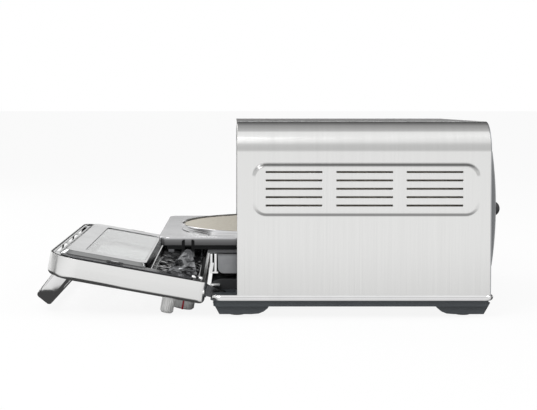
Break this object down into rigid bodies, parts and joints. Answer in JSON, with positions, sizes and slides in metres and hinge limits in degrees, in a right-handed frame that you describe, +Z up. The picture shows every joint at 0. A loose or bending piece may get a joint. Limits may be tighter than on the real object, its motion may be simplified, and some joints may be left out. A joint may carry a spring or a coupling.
{
  "type": "electric pizza oven",
  "caption": "Countertop electric pizza oven in brushed steel; the drop-down door draws a round stone deck out on rails as it opens.",
  "frame": {"origin": "middle of the footprint of the open oven, on the worktop under its feet", "axes": "-Y is the front, where the door opens; +Z is up; +X is to the right when facing the oven from its front"},
  "size_m": [0.4744, 0.6722, 0.2714],
  "materials": {
    "brushed_steel": "brushed with fine upright grain",
    "bright_steel": "polished",
    "base_plastic": "moulded, fine matt texture",
    "pad_rubber": "soft matt rubber",
    "plated_steel": "zinc plated sheet",
    "cover_grey": "satin dark grey paint",
    "black_plastic": "moulded heat-resistant plastic",
    "cavity_steel": "aluminised sheet",
    "ceramic_wool": "needled fibre blanket",
    "heater_tube": "oxidised alloy sheath",
    "probe_brass": "plain turned",
    "circuit_board": "glass-fibre board with parts",
    "white_ceramic": "unglazed",
    "screw_steel": "plated",
    "liner_steel": "smooth polished sheet",
    "clear_glass": "toughened, clear",
    "control_black": "moulded",
    "knob_steel": "turned, fluted",
    "polished_steel": "bright polished",
    "stone": "fired cordierite",
    "runner_polymer": "low-friction high-temperature polymer"
  },
  "bodies": {
    "oven_body": {"outer_wrap": "brushed_steel", "base_tray": "base_plastic", "base_trim": "bright_steel", "rubber_feet": "pad_rubber", "rear_panel": "plated_steel", "rear_cover": "cover_grey", "wall_spacers": "cover_grey", "cord_gland": "black_plastic", "front_frame": "plated_steel", "front_sill": "black_plastic", "cavity_liner": "cavity_steel", "insulation_blanket": "ceramic_wool", "lower_element_outer": "heater_tube", "lower_element_inner": "heater_tube", "lower_reflector": "cavity_steel", "upper_element_outer": "heater_tube", "upper_element_inner": "heater_tube", "upper_shield": "cavity_steel", "element_clips": "plated_steel", "temperature_probes": "probe_brass", "deck_rails": "plated_steel", "hinge_brackets": "plated_steel", "hinge_pins": "bright_steel", "stop_bars": "bright_steel", "fan_housing": "black_plastic", "power_board": "circuit_board", "terminal_block": "white_ceramic", "body_screws": "screw_steel"},
    "door": {"door_shell": "brushed_steel", "door_liner": "liner_steel", "door_insulation": "ceramic_wool", "window_outer": "clear_glass", "window_inner": "clear_glass", "window_retainer": "plated_steel", "handle": "brushed_steel", "handle_screws": "screw_steel", "hinge_arms": "plated_steel", "hinge_bushes": "probe_brass", "draw_ears": "plated_steel", "draw_pins": "bright_steel", "control_boards": "circuit_board", "dial_controls": "control_black", "door_studs": "bright_steel"},
    "deck": {"deck_tray": "polished_steel", "stone_ring": "bright_steel", "pizza_stone": "stone", "carriage_plates": "plated_steel", "carriage_bars": "plated_steel", "carriage_runners": "runner_polymer", "carriage_posts": "bright_steel"},
    "right_dial": {"dial_right": "knob_steel"},
    "left_dial": {"dial_left": "knob_steel"},
    "right_timer": {"timer_knob_right": "knob_steel"},
    "left_timer": {"timer_knob_left": "knob_steel"},
    "fan": {"fan_rotor": "black_plastic"}
  },
  "joints": [
    {"name": "door_hinge", "type": "hinge", "parent": "oven_body", "child": "door", "pos_m": [0, -0.06986, 0.0236], "axis": [-1, 0, 0], "range_deg": [0, 79.7]},
    {"name": "deck_slide", "type": "slide", "parent": "oven_body", "child": "deck", "axis": [0, 1, 0], "range_m": [0, 0.0977]},
    {"name": "right_dial_turn", "type": "hinge", "parent": "door", "child": "right_dial", "pos_m": [0.172, -0.12338, 0.02215], "axis": [0, 0.1788, 0.9839], "range_deg": [0, 270]},
    {"name": "left_dial_turn", "type": "hinge", "parent": "door", "child": "left_dial", "pos_m": [-0.172, -0.12338, 0.02215], "axis": [0, 0.1788, 0.9839], "range_deg": [0, 270]},
    {"name": "right_timer_turn", "type": "hinge", "parent": "door", "child": "right_timer", "pos_m": [0.205, -0.14405, 0.0259], "axis": [0, 0.1788, 0.9839], "range_deg": [0, 300]},
    {"name": "left_timer_turn", "type": "hinge", "parent": "door", "child": "left_timer", "pos_m": [-0.205, -0.14405, 0.0259], "axis": [0, 0.1788, 0.9839], "range_deg": [0, 300]},
    {"name": "fan_spin", "type": "hinge", "parent": "oven_body", "child": "fan", "pos_m": [0.066, 0.31134, 0.132], "axis": [0, 1, 0], "continuous": true}
  ],
  "couplings": [
    {"joint": "deck_slide", "follows": "door_hinge", "m_per_rad": 0.070111}
  ]
}
